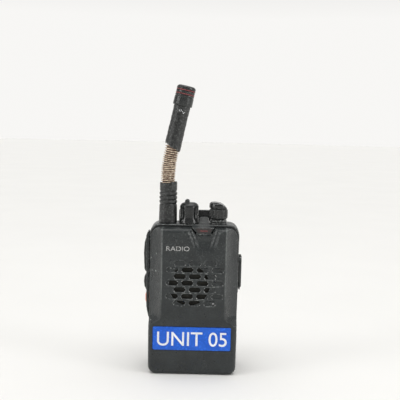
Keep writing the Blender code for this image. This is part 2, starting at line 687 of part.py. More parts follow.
def make_belt_clip():
    """The sprung belt clip on the back, on its bracket and pin."""
    plate = block((-EAR_X[1], BACK_Y + GAP, 77.5), (EAR_X[1], 18.6, 93.0))
    bracket = add("belt_clip_bracket", plate, BLACK)
    ears = []
    for side in (-1, 1):
        low, high = sorted((side * EAR_X[0], side * EAR_X[1]))
        outline = [(18.0, 84.0), (21.2, 84.4)]
        outline += arc((CLIP_PIVOT_Y, CLIP_PIVOT_Z), 2.4, -60, 90, 4)
        outline += [(18.0, 91.5)]
        ears.append(prism(outline, "X", low, high))
    join(bracket, merge(*ears))
    cut(bracket, cylinder((CLIP_PIVOT_Y, CLIP_PIVOT_Z), 1.3, "X", -15, 15, 12),
        merge(*[cylinder(place, 1.5, "Y", 15.0, 20.0, 12) for place in CLIP_SCREWS]))
    outline = [(18.0, 22.5), (18.6, 20.8), (22.0, 23.0), (23.2, 27.0), (23.6, 80.0), (23.3, 90.0),
               (23.2, 96.0), (23.6, 102.0), (21.3, 102.0), (20.6, 96.0), (19.6, 91.0), (18.9, 87.5),
               (20.0, 84.0), (21.4, 78.0), (21.4, 27.0)]
    clip = add("belt_clip", prism(outline, "X", -CLIP_HALF_X, CLIP_HALF_X), BLACK,
               (0.0, CLIP_PIVOT_Y, CLIP_PIVOT_Z))
    cut(clip, cylinder((CLIP_PIVOT_Y, CLIP_PIVOT_Z), 1.3, "X", -15, 15, 12),
        block((-3.2, 17.0, 84.6), (3.2, 25.0, 90.4)))
    pin = cylinder((CLIP_PIVOT_Y, CLIP_PIVOT_Z), 1.0, "X", -13.0, 13.0, 12)
    add("belt_clip_pin", pin, STEEL)
    turns, per_turn = 5, 8
    wire = []
    for i in range(turns * per_turn + 1):
        angle = 2 * math.pi * i / per_turn
        wire.append((-2.3 + 4.6 * i / (turns * per_turn), CLIP_PIVOT_Y + 1.7 * math.cos(angle),
                     CLIP_PIVOT_Z + 1.7 * math.sin(angle)))
    tube("belt_clip_spring", wire, 0.3, STEEL)
    for number, (x, z) in enumerate(CLIP_SCREWS):
        shape = loft([screw_ring(x, z, r, y) for r, y in
                      ((1.1, 12.0), (1.1, 18.9), (2.1, 18.9), (2.1, 19.9))])
        add(f"bracket_screw_{number + 1}", shape, STEEL)


# ---------------------------------------------------------------- battery

def make_battery():
    """The battery pack: its case and lid, two cells, its board and contacts."""
    sections = [(BATTERY_Y, 0.0), (14.2, 0.0), (16.0, 0.8), (BACK_Y, 2.4)]
    shell = loft([case_outline(y, inset, 0.0, BATTERY_TOP_Z, BOTTOM_CORNER, 1.5)
                  for y, inset in sections])
    case = add("battery_case", shell, CASE)
    cut(case, block((-26, 4.0, 9.0), (26, 15.2, 73.6)),
        block((-LATCH_HALF_X - GAP, 4.0, -2.0), (LATCH_HALF_X + GAP, LATCH_TIP_Y + GAP, 2.6)),
        block((-LATCH_HALF_X - GAP, 4.0, 2.0), (LATCH_HALF_X + GAP, 9.5, 7.0)))
    lid = add("battery_lid", block((-25.7, BATTERY_Y + 0.1, 9.3), (25.7, 6.7, 73.3)), CASE)
    cut(lid, block((-8.0, 4.0, 11.5), (8.0, 8.0, 16.5)))
    strip = add("battery_contact_strip", block((-7.7, 6.0, 11.8), (7.7, 6.6, 16.2)), BRASS)
    join(strip, merge(*[block((x - 1.7, 5.6, 12.2), (x + 1.7, 6.3, 15.8)) for x in CONTACT_X]))
    for side, low, high in (("left", -25.4, -0.4), ("right", 0.4, 25.4)):
        cell = add(f"battery_cell_{side}", block((low, 7.2, 10.0), (high, 14.8, 69.0)), CELL)
        soften(cell, 2.0, 2)
    add("battery_board", block((-20.0, 7.2, 70.5), (20.0, 14.6, 71.7)), BOARD)


def make_latch():
    """The battery's latch in the underside, on its pin."""
    outline = arc((LATCH_PIVOT_Y, LATCH_PIVOT_Z), 1.3, 90, 270, 8)
    outline += [(LATCH_TIP_Y, 0.0), (LATCH_TIP_Y, LATCH_TOP_Z), (LATCH_PIVOT_Y + 1.1, LATCH_TOP_Z)]
    latch = add("battery_latch", prism(outline, "X", -LATCH_HALF_X, LATCH_HALF_X), BLACK,
                (0.0, LATCH_PIVOT_Y, LATCH_PIVOT_Z))
    cut(latch, cylinder((LATCH_PIVOT_Y, LATCH_PIVOT_Z), 0.9, "X", -20, 20, 12))
    pin = cylinder((LATCH_PIVOT_Y, LATCH_PIVOT_Z), 0.6, "X", -15.0, 15.0, 12)
    add("latch_pin", pin, STEEL)


make_front_case()
make_rear_case()
make_case_seal()
make_case_screws()
make_label()
make_lamp()
make_speaker()
make_microphone()
make_boards()
make_controls()
make_antenna()
make_side_keys()
make_jack_cover()
make_belt_clip()
make_battery()
make_latch()
smooth(["belt_clip_pin", "jack_cover_pin", "latch_pin", "volume_body", "volume_nut"])
smooth([f"case_screw_{number}" for number in (1, 2, 3, 4)])
smooth([f"bracket_screw_{number}" for number in (1, 2)])
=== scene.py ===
"""Looks of the compact two way radio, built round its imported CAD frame."""
import json
import math
import random

import bmesh
import bpy
import numpy as np
from mathutils import Matrix, Vector


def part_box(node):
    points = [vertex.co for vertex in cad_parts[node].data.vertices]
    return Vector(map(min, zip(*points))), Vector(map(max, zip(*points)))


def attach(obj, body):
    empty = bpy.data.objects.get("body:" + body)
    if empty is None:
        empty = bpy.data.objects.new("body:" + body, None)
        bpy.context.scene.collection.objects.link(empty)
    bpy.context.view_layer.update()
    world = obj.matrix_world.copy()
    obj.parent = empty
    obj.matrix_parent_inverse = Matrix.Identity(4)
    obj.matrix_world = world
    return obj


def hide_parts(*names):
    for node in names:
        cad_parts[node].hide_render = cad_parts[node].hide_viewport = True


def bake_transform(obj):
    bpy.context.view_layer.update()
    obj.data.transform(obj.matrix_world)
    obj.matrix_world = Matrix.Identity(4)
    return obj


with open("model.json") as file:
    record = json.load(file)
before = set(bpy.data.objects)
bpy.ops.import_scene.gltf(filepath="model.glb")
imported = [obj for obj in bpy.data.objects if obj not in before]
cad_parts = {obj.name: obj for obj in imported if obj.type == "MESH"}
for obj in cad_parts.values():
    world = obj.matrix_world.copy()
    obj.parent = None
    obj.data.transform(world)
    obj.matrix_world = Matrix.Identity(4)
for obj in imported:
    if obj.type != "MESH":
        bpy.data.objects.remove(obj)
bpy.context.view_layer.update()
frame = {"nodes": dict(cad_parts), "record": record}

MM = 0.001
SEED = 7


# Places read from the frame, in millimetres

def span(node):
    """A node's lowest and highest corners in millimetres."""
    low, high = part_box(node)
    return Vector(low) / MM, Vector(high) / MM


def middle(node):
    """The middle of a node's box in millimetres."""
    low, high = span(node)
    return (low + high) / 2


# ---------------------------------------------------------------- materials

def new_node(tree, kind, **inputs):
    """Adds a shader node and sets its inputs by name."""
    node = tree.nodes.new(kind)
    for name, value in inputs.items():
        node.inputs[name.replace("_", " ")].default_value = value
    return node


def object_place(tree):
    """The shaded point in the object's own space, in metres."""
    return tree.nodes.new("ShaderNodeTexCoord").outputs["Object"]


def split(tree, vector):
    """A vector's X, Y and Z outputs."""
    parts = tree.nodes.new("ShaderNodeSeparateXYZ")
    tree.links.new(vector, parts.inputs[0])
    return parts.outputs


def noise(tree, size_mm, detail):
    """Noise in the object's own space, with features of about the given size."""
    node = new_node(tree, "ShaderNodeTexNoise", Scale=1.0 / (size_mm * MM), Detail=detail)
    tree.links.new(object_place(tree), node.inputs["Vector"])
    return node.outputs["Fac"]


def mapped(tree, value, low, high, to_low, to_high):
    """Stretches a value from one range to another and clamps it."""
    node = tree.nodes.new("ShaderNodeMapRange")
    node.inputs["From Min"].default_value = low
    node.inputs["From Max"].default_value = high
    node.inputs["To Min"].default_value = to_low
    node.inputs["To Max"].default_value = to_high
    tree.links.new(value, node.inputs["Value"])
    return node.outputs["Result"]


def reckoned(tree, operation, first, second=None):
    """A maths node on a value and an optional second value or number."""
    node = tree.nodes.new("ShaderNodeMath")
    node.operation = operation
    tree.links.new(first, node.inputs[0])
    if isinstance(second, float):
        node.inputs[1].default_value = second
    elif second is not None:
        tree.links.new(second, node.inputs[1])
    return node.outputs[0]


def times(tree, first, second):
    """Multiplies two values."""
    return reckoned(tree, "MULTIPLY", first, second)


def mixed(tree, amount, first, second):
    """Mixes two colours; each is a colour or a socket."""
    node = tree.nodes.new("ShaderNodeMix")
    node.data_type = "RGBA"
    tree.links.new(amount, node.inputs["Factor"])
    for name, value in (("A", first), ("B", second)):
        socket = [item for item in node.inputs if item.name == name and item.type == "RGBA"][0]
        if isinstance(value, tuple):
            socket.default_value = (*value, 1.0)
        else:
            tree.links.new(value, socket)
    return [item for item in node.outputs if item.type == "RGBA"][0]


def bumped(tree, height, distance_mm, strength):
    """A bump from a height."""
    node = tree.nodes.new("ShaderNodeBump")
    node.inputs["Strength"].default_value = strength
    node.inputs["Distance"].default_value = distance_mm * MM
    tree.links.new(height, node.inputs["Height"])
    return node.outputs["Normal"]


def finish_of(name, dark, light, rough, grain_mm, grain, patch_mm=9.0, metallic=0.0, edge_wear_and_highlight=None,
              edge_wear_and_highlight_range=(0.53, 0.62), coat=0.0, specular=0.5, fleck=None, fade_mm=None):
    """A moulded or turned surface: patchy colour and gloss, a fine grain, flecks, and lighter convex edges
    that are partly rubbed wear and partly a painted highlight.

    fade_mm gives two heights between which the flecks grow from faint to full.
    """
    made = bpy.data.materials.new(name)
    made.use_nodes = True
    tree = made.node_tree
    shader = tree.nodes["Principled BSDF"]
    shader.inputs["Metallic"].default_value = metallic
    shader.inputs["Specular IOR Level"].default_value = specular
    shader.inputs["Coat Weight"].default_value = coat
    shader.inputs["Coat Roughness"].default_value = 0.25
    patches = noise(tree, patch_mm, 5.0)
    fine = noise(tree, grain_mm, 2.0)
    colour = mixed(tree, mapped(tree, patches, 0.35, 0.68, 0.0, 1.0), dark, light)
    speck = mapped(tree, fine, 0.54, 0.72, 0.0, 0.75)
    if fade_mm:
        height = split(tree, object_place(tree))["Z"]
        speck = times(tree, speck, mapped(tree, height, fade_mm[0] * MM, fade_mm[1] * MM, 0.2, 1.0))
    colour = mixed(tree, speck, colour, fleck or tuple(min(c * 1.5, 1.0) for c in light))
    # Convex edges, picked out by pointiness, get a lighter colour: partly rubbed wear, partly a highlight
    # painted on the edges.
    if edge_wear_and_highlight:
        edges = tree.nodes.new("ShaderNodeNewGeometry").outputs["Pointiness"]
        rubbed_and_highlit = times(tree, mapped(tree, edges, *edge_wear_and_highlight_range, 0.0, 1.0),
                       mapped(tree, noise(tree, 1.6, 4.0), 0.46, 0.66, 0.05, 1.0))
        colour = mixed(tree, rubbed_and_highlit, colour, edge_wear_and_highlight)
    tree.links.new(colour, shader.inputs["Base Color"])
    gloss = mapped(tree, noise(tree, patch_mm * 0.6, 4.0), 0.3, 0.7, rough - 0.08, rough + 0.08)
    tree.links.new(gloss, shader.inputs["Roughness"])
    tree.links.new(bumped(tree, fine, grain_mm * 0.35, grain), shader.inputs["Normal"])
    return made


def case_finish(name, **more):
    """The grained dark plastic of the radio's shells."""
    # the lighter edge colour is partly wear and partly a painted highlight on the shells' edges
    return finish_of(name, (0.0115, 0.0145, 0.0152), (0.0200, 0.0245, 0.0252), 0.33, 0.95, 1.0,
                     edge_wear_and_highlight=(0.34, 0.36, 0.35), edge_wear_and_highlight_range=(0.512, 0.56), **more)


RIDGE_X = 20.3


def paint_ridge_highlights(mat, half_mm, colour):
    """Paints a patchy highlight along the two ridges down the front: a lighter band in the base colour
    that stands in for light on their rounded edges.
    """
    tree = mat.node_tree
    shader = tree.nodes["Principled BSDF"]
    before = shader.inputs["Base Color"].links[0].from_socket
    place = split(tree, object_place(tree))
    away = reckoned(tree, "SUBTRACT", reckoned(tree, "ABSOLUTE", place["X"]), RIDGE_X * MM)
    stripe = mapped(tree, reckoned(tree, "ABSOLUTE", away), half_mm * MM * 0.3, half_mm * MM, 1.0, 0.0)
    patchy = mapped(tree, noise(tree, 2.2, 5.0), 0.38, 0.62, 0.35, 1.0)
    above = mapped(tree, place["Z"], 36.0 * MM, 60.0 * MM, 0.0, 1.0)
    amount = times(tree, times(tree, stripe, patchy), above)
    tree.links.new(mixed(tree, amount, before, colour), shader.inputs["Base Color"])


CASE = case_finish("case_plastic", fleck=(0.075, 0.082, 0.082))
FRONT = case_finish("case_plastic_front", fleck=(0.060, 0.066, 0.066), fade_mm=(45.0, 80.0))
# painted highlight: a lighter band in the colour along the front's two ridges
paint_ridge_highlights(FRONT, 0.7, (0.115, 0.125, 0.122))
BLACK = finish_of("black_plastic", (0.008, 0.0088, 0.0092), (0.013, 0.0142, 0.0146), 0.24, 0.5, 0.16,
                  edge_wear_and_highlight=(0.16, 0.17, 0.17), edge_wear_and_highlight_range=(0.515, 0.58))
# the lighter edge colour here paints highlights on the knobs' rims and flutes
KNOB = finish_of("knob_plastic", (0.010, 0.011, 0.0112), (0.018, 0.0195, 0.0195), 0.22, 0.5, 0.16,
                 edge_wear_and_highlight=(0.22, 0.23, 0.225), edge_wear_and_highlight_range=(0.506, 0.55))
CAP = finish_of("cap_plastic", (0.013, 0.0142, 0.0142), (0.024, 0.026, 0.0255), 0.24, 0.8, 0.5,
                patch_mm=3.0, edge_wear_and_highlight=(0.20, 0.21, 0.20), edge_wear_and_highlight_range=(0.515, 0.58))
RUBBER = finish_of("black_rubber", (0.006, 0.0065, 0.0065), (0.024, 0.0255, 0.0255), 0.36, 1.1, 1.0,
                   patch_mm=2.2, edge_wear_and_highlight=(0.16, 0.165, 0.16), edge_wear_and_highlight_range=(0.515, 0.58),
                   fleck=(0.09, 0.095, 0.09))
COVER = finish_of("cover_rubber", (0.020, 0.023, 0.0235), (0.030, 0.034, 0.0345), 0.5, 0.7, 0.6)
ORANGE = finish_of("orange_rubber", (0.78, 0.29, 0.17), (0.88, 0.40, 0.26), 0.5, 0.4, 0.2)
RED = finish_of("red_plastic", (0.15, 0.028, 0.032), (0.26, 0.060, 0.065), 0.35, 0.5, 0.2, patch_mm=3.0)
RED_DIM = finish_of("lamp_red", (0.17, 0.03, 0.034), (0.25, 0.05, 0.052), 0.3, 0.6, 0.05)
LENS = finish_of("lamp_lens", (0.012, 0.006, 0.006), (0.018, 0.009, 0.009), 0.2, 0.6, 0.05, coat=0.3)
COPPER = finish_of("coil_wire", (0.24, 0.15, 0.10), (0.78, 0.64, 0.49), 0.45, 0.4, 0.3,
                   patch_mm=1.7, metallic=0.25)
CORE = finish_of("antenna_core", (0.05, 0.028, 0.022), (0.17, 0.10, 0.078), 0.75, 0.7, 0.5, patch_mm=3.0)
STEEL = finish_of("steel", (0.45, 0.45, 0.46), (0.62, 0.62, 0.63), 0.3, 0.5, 0.15, metallic=1.0)
BRASS = finish_of("brass", (0.55, 0.38, 0.14), (0.75, 0.55, 0.24), 0.3, 0.5, 0.15, metallic=1.0)
BOARD = finish_of("circuit_board", (0.01, 0.10, 0.04), (0.02, 0.17, 0.07), 0.4, 0.8, 0.3)
CELL = finish_of("battery_cell", (0.03, 0.05, 0.14), (0.05, 0.08, 0.2), 0.45, 1.0, 0.15)
CLOTH = finish_of("grille_cloth", (0.006, 0.006, 0.0045), (0.018, 0.0175, 0.013), 0.85, 0.6, 0.8)
PAPER = finish_of("speaker_paper", (0.02, 0.018, 0.016), (0.05, 0.045, 0.04), 0.9, 0.6, 0.5)
BLUE = finish_of("label_blue", (0.010, 0.096, 0.55), (0.018, 0.125, 0.63), 0.45, 1.4, 0.08,
                 patch_mm=14.0, specular=0.3)
WHITE = finish_of("white_print", (0.74, 0.76, 0.79), (0.88, 0.89, 0.91), 0.45, 0.6, 0.1)
# silver for the printed word on the front, and also for the painted glints at the grille's slot corners
SILVER_PRINT_AND_GLINT = finish_of("silver_print_and_painted_glint", (0.22, 0.22, 0.22), (0.60, 0.60, 0.59), 0.35, 0.4, 0.3,
                   patch_mm=1.2, metallic=0.3)

SLOT_MATERIALS = {
    "case_plastic": CASE, "black_plastic": BLACK, "black_rubber": RUBBER, "orange_rubber": ORANGE,
    "label": BLUE, "red_plastic": RED, "copper_wire": COPPER, "antenna_core": CORE, "steel": STEEL,
    "brass": BRASS, "circuit_board": BOARD, "battery_cell": CELL, "grille_cloth": CLOTH,
    "speaker_paper": PAPER,
}
NODE_SLOTS = {item["node"]: item["material_slot"] for item in frame["record"]["subparts"]}
NODE_BODIES = {node: body for body, nodes in frame["record"]["behaviour"]["bodies"].items()
               for node in nodes}
for node_name, node_object in frame["nodes"].items():
    node_object.data.materials.clear()
    node_object.data.materials.append(SLOT_MATERIALS[NODE_SLOTS[node_name]])


# ---------------------------------------------------------------- mesh helpers

def linked(name, data):
    """Puts mesh, curve or text data into the scene as an object."""
    obj = bpy.data.objects.new(name, data)
    bpy.context.scene.collection.objects.link(obj)
    return obj


def block(low, high):
    """A box between two corners."""
    bm = bmesh.new()
    bmesh.ops.create_cube(bm, size=1.0)
    low, high = Vector(low), Vector(high)
    bmesh.ops.scale(bm, vec=high - low, verts=bm.verts)
    bmesh.ops.translate(bm, vec=(high + low) / 2, verts=bm.verts)
    return bm


def prism(outline, along, start, end):
    """An outline extruded along an axis; its points give the other two axes in X, Y, Z order."""
    def place(first, second, third):
        if along == "X":
            return Vector((third, first, second))
        if along == "Y":
            return Vector((first, third, second))
        return Vector((first, second, third))

    bm = bmesh.new()
    face = bm.faces.new([bm.verts.new(place(a, b, start)) for a, b in outline])
    grown = bmesh.ops.extrude_face_region(bm, geom=[face])["geom"]
    moved = [item for item in grown if isinstance(item, bmesh.types.BMVert)]
    bmesh.ops.translate(bm, vec=place(0.0, 0.0, end - start), verts=moved)
    return bm


def arc(centre, radius, start, end, steps):
    """Points along an arc, with its angles in degrees."""
    angles = [math.radians(start + (end - start) * i / steps) for i in range(steps + 1)]
    return [(centre[0] + radius * math.cos(a), centre[1] + radius * math.sin(a)) for a in angles]


def cylinder(centre, radius, along, start, end, steps):
    """A round bar along an axis; the centre gives the other two axes in X, Y, Z order."""
    return prism(arc(centre, radius, 0, 360 - 360 / steps, steps - 1), along, start, end)


def to_object(name, bm, mat):
    """Makes an object from a mesh in millimetres."""
    bmesh.ops.recalc_face_normals(bm, faces=bm.faces)
    bmesh.ops.scale(bm, vec=(MM, MM, MM), verts=bm.verts)
    mesh = bpy.data.meshes.new(name)
    bm.to_mesh(mesh)
    bm.free()
    mesh.materials.append(mat)
    return linked(name, mesh)


def mesh_of(obj):
    """A mesh of an object as it is shown, with its modifiers or its curve's thickness applied."""
    graph = bpy.context.evaluated_depsgraph_get()
    return bpy.data.meshes.new_from_object(obj.evaluated_get(graph), depsgraph=graph)


def bake(obj):
    """Applies an object's modifiers to its mesh."""
    mesh = mesh_of(obj)
    obj.modifiers.clear()
    obj.data = mesh
    mesh.shade_smooth()
    return obj


def curve_mesh(curve, mat):
    """Turns curve or text data into a mesh of one material."""
    holder = linked(curve.name, curve)
    mesh = mesh_of(holder)
    bpy.data.objects.remove(holder, do_unlink=True)
    mesh.materials.clear()
    mesh.materials.append(mat)
    return mesh


def outward(obj):
    """Turns every face of a closed mesh outward."""
    bm = bmesh.new()
    bm.from_mesh(obj.data)
    bmesh.ops.recalc_face_normals(bm, faces=bm.faces)
    bm.to_mesh(obj.data)
    bm.free()


def boolean(obj, operation, *meshes):
    """Cuts or joins an object with shapes that are removed afterwards."""
    helpers = []
    for bm in meshes:
        helper = to_object("helper", bm, obj.data.materials[0])
        step = obj.modifiers.new("step", "BOOLEAN")
        step.operation = operation
        step.solver = "EXACT"
        step.object = helper
        helpers.append(helper)
    bake(obj)
    for helper in helpers:
        bpy.data.objects.remove(helper, do_unlink=True)


def remesh(obj, voxel, rounds, keep=1.0):
    """Rebuilds a shape on a fine even mesh with softly rounded edges, keeping a share of its faces."""
    step = obj.modifiers.new("voxels", "REMESH")
    step.mode = "VOXEL"
    step.voxel_size = voxel * MM
    step = obj.modifiers.new("relax", "SMOOTH")
    step.factor = 0.5
    step.iterations = rounds
    if keep < 1.0:
        step = obj.modifiers.new("thin", "DECIMATE")
        step.ratio = keep
    bake(obj)


def stand_for(obj, node, *more):
    """Lets a piece take a CAD node's place on its body."""
    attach(obj, NODE_BODIES[node])
    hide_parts(node, *more)
    return obj


def moulded(name, node, mat, voxel, rounds, keep=1.0, joins=()):
    """A moulded piece in place of a CAD node: its own shape with fine details and soft edges."""
    obj = linked(name, frame["nodes"][node].data.copy())
    obj.data.materials.clear()
    obj.data.materials.append(mat)
    if joins:
        boolean(obj, "UNION", *joins)
    remesh(obj, voxel, rounds, keep)
    return stand_for(obj, node)


def read_points(obj, what):
    """An array of a mesh's points ("co", in metres) or of their directions ("normal")."""
    values = np.empty(len(obj.data.vertices) * 3)
    obj.data.vertices.foreach_get(what, values)
    return values.reshape(-1, 3)


def sculpt(obj, push):
    """Moves an object's points by a rule that takes and gives arrays in millimetres."""
    moved = push(read_points(obj, "co") / MM, read_points(obj, "normal")) * MM
    obj.data.vertices.foreach_set("co", moved.ravel())
    obj.data.update()


def soften(obj, weight, rounds):
    """Smooths the part of a mesh that a rule picks out, giving 0 to 1 from points in millimetres."""
    group = obj.vertex_groups.new(name="soft")
    for number, amount in enumerate(weight(read_points(obj, "co") / MM)):
        if amount > 0.0:
            group.add([number], float(amount), "REPLACE")
    step = obj.modifiers.new("soften", "SMOOTH")
    step.vertex_group = "soft"
    step.factor = 0.5
    step.iterations = rounds
    bake(obj)


def ramp(value, low, high):
    """A smooth step from 0 to 1."""
    share = np.clip((value - low) / (high - low), 0.0, 1.0)
    return share * share * (3 - 2 * share)


def band(value, low, full, fade, high):
    """Rises smoothly from 0 to 1 between the first two limits and falls back between the last two."""
    return ramp(value, low, full) * (1 - ramp(value, fade, high))


# ---------------------------------------------------------------- cases

SLOT_ROWS = 7
SLOT_PITCH = 9.6
SLOT_MIDDLE_X = 0.9
SLOT_LOW_ROW_Z = 46.7
SLOT_ROW_PITCH = 4.27
SLOT_HALF = (3.55, 1.4)
SLOT_NIP = 0.9
GRILLE_TOP_Z = 76.0
HOLLOW_X = 20.9
HOLLOW_WIDTH = 8.0
HOLLOW_DEPTH = 0.95
BEAD_X = 20.15
RIDGE_MIDDLE_X = 6.0
SEAM_Y = -4.95
REAR_HALF_WIDTH = 29.0
REAR_TOP_Z = 95.5
REAR_CORNER_R = 6.6
REAR_TAPER = 0.000345
REAR_TAPER_TOP_Z = 90.0


def slot_centres():
    """The grille's slots, row by row from the top."""
    for row in range(SLOT_ROWS):
        count = 3 if row % 2 == 0 else 4
        for number in range(count):
            yield (SLOT_MIDDLE_X + (number - (count - 1) / 2) * SLOT_PITCH,
                   SLOT_LOW_ROW_Z + (SLOT_ROWS - 1 - row) * SLOT_ROW_PITCH)


def funnel(x, z):
    """The depth of the stepped funnel below the lamp, which narrows downward."""
    left = -3.4 + (93.7 - z) * 0.34
    right = 15.6 - (93.5 - z) * 0.27
    outer = band(x, left - 0.9, left + 0.5, right - 0.5, right + 0.9)
    inner = band(x, left + 1.5, left + 2.9, right - 2.9, right - 1.5)
    return (outer + 1.1 * inner) * ramp(z, 78.0, 87.5) * (1 - 0.3 * ramp(z, 91.5, 94.5))


def slot_rims(x, z):
    """1 at the edges of the grille's slots, fading to 0 on the bars between them."""
    rim = np.zeros(len(x))
    for centre_x, centre_z in slot_centres():
        away_x = np.abs(x - centre_x) - SLOT_HALF[0]
        away_z = np.abs(z - centre_z) - SLOT_HALF[1]
        corner = (away_x + away_z + SLOT_NIP) / math.sqrt(2)
        away = np.maximum(np.maximum(away_x, away_z), corner)
        rim = np.maximum(rim, 1 - ramp(away, -0.2, 0.75))
    return rim


def front_relief(points, normals):
    """Shapes the front: the funnel, the slots' eased rims, the hollow sides and the ridges by them."""
    x, y, z = points.T
    side, width, ahead = np.sign(x), np.abs(x), -y
    moved = points.copy()
    rims = 0.42 * slot_rims(x, z) * (z < GRILLE_TOP_Z) * (ahead > 16.2)
    moved[:, 1] += ramp(ahead, 15.2, 15.9) * (funnel(x, z) + rims)
    across = np.clip((width - HOLLOW_X) / HOLLOW_WIDTH, 0.0, 1.0)
    hollow = HOLLOW_DEPTH * np.sin(math.pi * across) ** 0.8 * band(z, 34.0, 40.0, 90.0, 95.0)
    facing = np.clip(-normals[:, 1], 0.0, 1.0) * ramp(width, 20.8, 21.6)
    moved[:, 0] -= side * hollow * facing * 0.8
    moved[:, 1] += hollow * facing * 0.6
    bead = np.exp(-((width - BEAD_X) / 0.45) ** 2) * band(z, 36.0, 40.0, 88.0, 93.0)
    moved[:, 1] -= 0.22 * bead * ramp(ahead, 15.9, 16.3)
    moved[:, 0] -= side * 1.15 * ramp(z, 50.0, 82.0) * ramp(width, 21.5, 27.0)
    moved[:, 2] -= 0.45 * ramp(z, 84.0, 93.0)
    return moved


def hollow_feet(points):
    """Picks out the feet of the hollows down the front's sides."""
    x, y, z = points.T
    return ramp(np.abs(x), 16.5, 18.5) * band(z, 25.5, 28.0, 44.0, 50.0) * ramp(-y, 8.0, 9.5)


def rear_relief(points, normals):
    """Rounds the ridge between the knobs and eases the rear shell's rim along the seam."""
    x, y, z = points.T
    moved = points.copy()
    over = ramp(z, 95.6, 97.5)
    moved[:, 2] -= over * 0.8 * np.clip(np.abs(x - RIDGE_MIDDLE_X) / 3.2, 0.0, 1.2) ** 3
    rim = (1 - ramp(y, SEAM_Y + 0.25, SEAM_Y + 1.05)) * (y > SEAM_Y) * ramp(z, 40.0, 70.0)
    moved[:, 2] -= 0.4 * rim * ramp(z, 88.0, 95.0)
    moved[:, 0] -= 0.35 * np.sign(x) * rim * ramp(np.abs(x), 25.0, 28.5)
    return moved


def battery_relief(points, normals):
    """Sinks grip lines into the battery's back beside the belt clip, and a panel below it."""
    x, y, z = points.T
    width = np.abs(x)
    back = ramp(normals[:, 1], 0.8, 0.95)
    wave = np.clip(np.cos(2 * math.pi * (z - 30.0) / 4.0), 0.0, 1.0) ** 3
    lines = wave * band(width, 14.5, 15.2, 24.0, 24.7) * band(z, 27.0, 28.0, 59.0, 60.0)
    panel = (1 - ramp(width, 18.0, 18.5)) * band(z, 8.0, 8.5, 19.5, 20.0)
    moved = points.copy()
    moved[:, 1] -= back * (0.45 * lines + 0.3 * panel)
    return moved


def make_cases():
    """The two shells, with the lamp notch's sill, and the battery's case."""
    front = moulded("front_case_shell", "front_case", FRONT, 0.3, 3, 0.6)
    sculpt(front, front_relief)
    soften(front, hollow_feet, 60)
    sill = block((1.2, -14.9, 90.3), (10.8, -4.0, 91.2))
    rear = moulded("rear_case_shell", "rear_case", CASE, 0.4, 3, 0.6, joins=(sill,))
    sculpt(rear, rear_relief)
    battery = moulded("battery_case_shell", "battery_case", CASE, 0.45, 3, 0.6)
    sculpt(battery, battery_relief)


def rim_outline(inset):
    """The rear case's outline from the front, from the right side over the top to the left."""
    reach = REAR_CORNER_R - inset
    edge, top = REAR_HALF_WIDTH - inset, REAR_TOP_Z - inset
    right = [(edge, z) for z in (40.0, 60.0, 80.0)] + arc((edge - reach, top - reach), reach, 0, 90, 10)
    whole = right + [(-x, z) for x, z in reversed(right)]
    return [Vector((x * (1 - REAR_TAPER * (REAR_TAPER_TOP_Z - z)), 0.0, z)) for x, z in whole]


def make_gasket_and_groove_shade():
    """The black gasket between the two shells, brought out to their surface as a dark line that paints the
    shade in the groove of the seam.
    """
    outer, inner, depth = 0.55, 2.6, 0.65
    corners = ((outer, SEAM_Y), (inner, SEAM_Y), (inner, SEAM_Y + depth), (outer, SEAM_Y + depth))
    bm = bmesh.new()
    rings = []
    for inset, y in corners:
        rings.append([bm.verts.new(point + Vector((0.0, y, 0.0))) for point in rim_outline(inset)])
    for near, far in zip(rings, rings[1:] + rings[:1]):
        for i in range(len(near) - 1):
            bm.faces.new((near[i], near[i + 1], far[i + 1], far[i]))
    for end in (0, -1):
        bm.faces.new([ring[end] for ring in rings])
    # a black band at the seam: painted shade in the groove between the shells, on the place of the seal
    gasket = to_object("seam_gasket_groove_shade", bm, BLACK)
    remesh(gasket, 0.12, 2, 0.3)
    stand_for(gasket, "case_seal")


def add_glint(bm, spot, along, size):
    """A low pyramid on a flat eight-sided foot, its length along a direction on the front."""
    across = Vector((-along.z, 0.0, along.x))
    angles = [2 * math.pi * i / 8 for i in range(8)]
    foot = [bm.verts.new(spot + along * size * 0.75 * math.cos(a) + across * 0.2 * math.sin(a))
            for a in angles]
    peak = bm.verts.new(spot + Vector((0.0, -0.1, 0.0)))
    for near, far in zip(foot, foot[1:] + foot[:1]):
        bm.faces.new((near, far, peak))
    bm.faces.new(foot)


def make_glints():
    """Painted glints at the corners of the grille's slots, light-coloured pyramids that stand in for
    reflections: every lower one and about a quarter of the upper ones.
    """
    chance = random.Random(SEED)
    bm = bmesh.new()
    for centre_x, centre_z in slot_centres():
        for side in (-1, 1):
            for level in (-1, 1):
                if level > 0 and chance.random() < 0.75:
                    continue
                size = chance.uniform(0.35, 0.75)
                spot = Vector((centre_x + side * (SLOT_HALF[0] - 0.15), -16.55,
                               centre_z + level * (SLOT_HALF[1] - 0.25)))
                along = Vector((side * 0.75, 0.0, level * -0.65)).normalized()
                add_glint(bm, spot, along, size)
    # light-coloured pieces that paint glints of reflected light at the slot corners
    glints = to_object("grille_painted_glints", bm, SILVER_PRINT_AND_GLINT)
    glints.data.shade_smooth()
    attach(glints, "radio_body")


make_cases()
make_gasket_and_groove_shade()
make_glints()


# ---------------------------------------------------------------- turned pieces

def eased(points, radius):
    """Rounds the corners of a profile with small arcs."""
    steps = 3
    soft = [points[0]]
    for before, corner, after in zip(points, points[1:], points[2:]):
        corner = Vector(corner)
        back, ahead = Vector(before) - corner, Vector(after) - corner
        reach = min(radius, back.length * 0.45, ahead.length * 0.45)
        start, end = corner + back.normalized() * reach, corner + ahead.normalized() * reach
        for i in range(steps + 1):
            t = i / steps
            point = start * (1 - t) ** 2 + corner * 2 * t * (1 - t) + end * t ** 2
            soft.append(tuple(point))
    return soft + [points[-1]]


